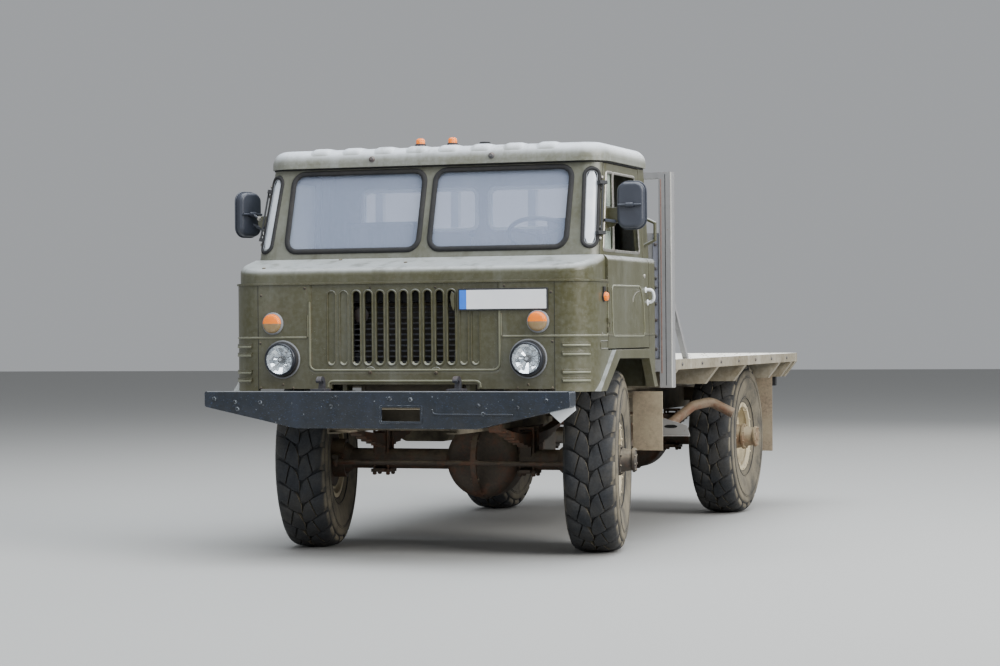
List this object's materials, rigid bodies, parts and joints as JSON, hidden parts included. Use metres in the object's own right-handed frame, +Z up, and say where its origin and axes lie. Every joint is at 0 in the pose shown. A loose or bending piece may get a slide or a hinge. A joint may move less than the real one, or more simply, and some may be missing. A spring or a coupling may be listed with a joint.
{
  "type": "military flat-bed cargo truck",
  "caption": "Forward-control cross-country truck with a tilting steel cab, a flat cargo bed, a headboard, steered front wheels and leaf-sprung axles",
  "frame": {"origin": "on the ground below the middle of the whole truck", "axes": "+Z up, the truck's front faces -Y, +X is its own left-hand side"},
  "size_m": [2.592, 5.446, 2.478],
  "materials": {
    "body_paint": "worn matt olive paint",
    "roof_paint": "faded matt olive paint",
    "bumper_paint": "scratched dark paint",
    "chassis_paint": "dusty dark paint",
    "axle_iron": "oily and dusty",
    "spring_steel": "rusty",
    "rim_paint": "faded cream paint",
    "tyre": "dusty rubber",
    "bed_paint": "worn cream paint",
    "planks": "weathered planks",
    "board_paint": "faded paint with rust",
    "flap_rubber": "dusty",
    "glass": "clear, dusty",
    "seat_vinyl": "worn vinyl",
    "inner_plastic": "matt black",
    "lamp_metal": "dull ring with a clear lens",
    "lamp_amber": "amber lens",
    "lamp_red": "red lens",
    "engine_iron": "oily",
    "mirror_plastic": "black housing"
  },
  "bodies": {
    "chassis": {"frame_rails": "chassis_paint", "frame_crossmembers": "chassis_paint", "bumper": "bumper_paint", "tow_hooks": "chassis_paint", "tow_hitch": "chassis_paint", "engine": "engine_iron", "transmission": "engine_iron", "radiator": "chassis_paint", "front_axle": "axle_iron", "rear_axle": "axle_iron", "leaf_springs": "spring_steel", "fuel_tank": "chassis_paint", "exhaust": "spring_steel", "bed_sills": "bed_paint", "bed_bearers": "bed_paint", "bed_edge": "bed_paint", "bed_planks": "planks", "headboard": "board_paint", "headboard_panel": "board_paint", "mudflaps": "flap_rubber", "tail_lamps": "lamp_red"},
    "knuckle_left": {"knuckle_left": "axle_iron"},
    "knuckle_right": {"knuckle_right": "axle_iron"},
    "tie_rod": {"tie_rod": "axle_iron"},
    "front_wheel_left": {"tyre_front_left": "tyre", "wheel_front_left": "rim_paint"},
    "front_wheel_right": {"tyre_front_right": "tyre", "wheel_front_right": "rim_paint"},
    "rear_wheel_left": {"tyre_rear_left": "tyre", "wheel_rear_left": "rim_paint"},
    "rear_wheel_right": {"tyre_rear_right": "tyre", "wheel_rear_right": "rim_paint"},
    "cab": {"cab_front_panel": "body_paint", "cab_sides": "body_paint", "cab_cowl": "body_paint", "cab_pillars": "body_paint", "cab_rear_wall": "body_paint", "cab_roof": "roof_paint", "cab_glass": "glass", "cab_floor": "body_paint", "engine_cover": "body_paint", "seats": "seat_vinyl", "dashboard": "inner_plastic", "steering_wheel": "inner_plastic", "headlamps": "lamp_metal", "marker_lamps": "lamp_amber"},
    "left_door": {"door_left": "body_paint", "door_glass_left": "glass", "mirror_left": "mirror_plastic"},
    "right_door": {"door_right": "body_paint", "door_glass_right": "glass", "mirror_right": "mirror_plastic"}
  },
  "joints": [
    {"name": "steer_left", "type": "hinge", "parent": "chassis", "child": "knuckle_left", "pos_m": [0.74, -1.573, 0.545], "axis": [0, 0, 1], "range_deg": [-38, 16]},
    {"name": "steer_right", "type": "hinge", "parent": "chassis", "child": "knuckle_right", "pos_m": [-0.74, -1.573, 0.545], "axis": [0, 0, 1], "range_deg": [-38, 16]},
    {"name": "tie_rod_pivot", "type": "hinge", "parent": "knuckle_left", "child": "tie_rod", "pos_m": [0.78389, -1.79877, 0.532], "axis": [0, 0, 1], "range_deg": [-16, 38]},
    {"name": "front_wheel_left_spin", "type": "hinge", "parent": "knuckle_left", "child": "front_wheel_left", "pos_m": [0.89706, -1.54247, 0.545], "axis": [0.9816, 0.1908, 0], "continuous": true},
    {"name": "front_wheel_right_spin", "type": "hinge", "parent": "knuckle_right", "child": "front_wheel_right", "pos_m": [-0.89706, -1.60353, 0.545], "axis": [0.9816, 0.1908, 0], "continuous": true},
    {"name": "rear_wheel_left_spin", "type": "hinge", "parent": "chassis", "child": "rear_wheel_left", "pos_m": [0.875, 1.727, 0.545], "axis": [1, 0, 0], "continuous": true},
    {"name": "rear_wheel_right_spin", "type": "hinge", "parent": "chassis", "child": "rear_wheel_right", "pos_m": [-0.875, 1.727, 0.545], "axis": [1, 0, 0], "continuous": true},
    {"name": "cab_tilt", "type": "hinge", "parent": "chassis", "child": "cab", "pos_m": [0, -2.363, 0.95], "axis": [1, 0, 0], "range_deg": [0, 45]},
    {"name": "left_door_hinge", "type": "hinge", "parent": "cab", "child": "left_door", "pos_m": [1.124, -2.045, 1.5], "axis": [0, 0, -1], "range_deg": [0, 65]},
    {"name": "right_door_hinge", "type": "hinge", "parent": "cab", "child": "right_door", "pos_m": [-1.124, -2.045, 1.5], "axis": [0, 0, 1], "range_deg": [0, 65]}
  ],
  "couplings": [
    {"joint": "steer_right", "follows": "steer_left", "ratio": 1},
    {"joint": "tie_rod_pivot", "follows": "steer_left", "ratio": -1}
  ]
}
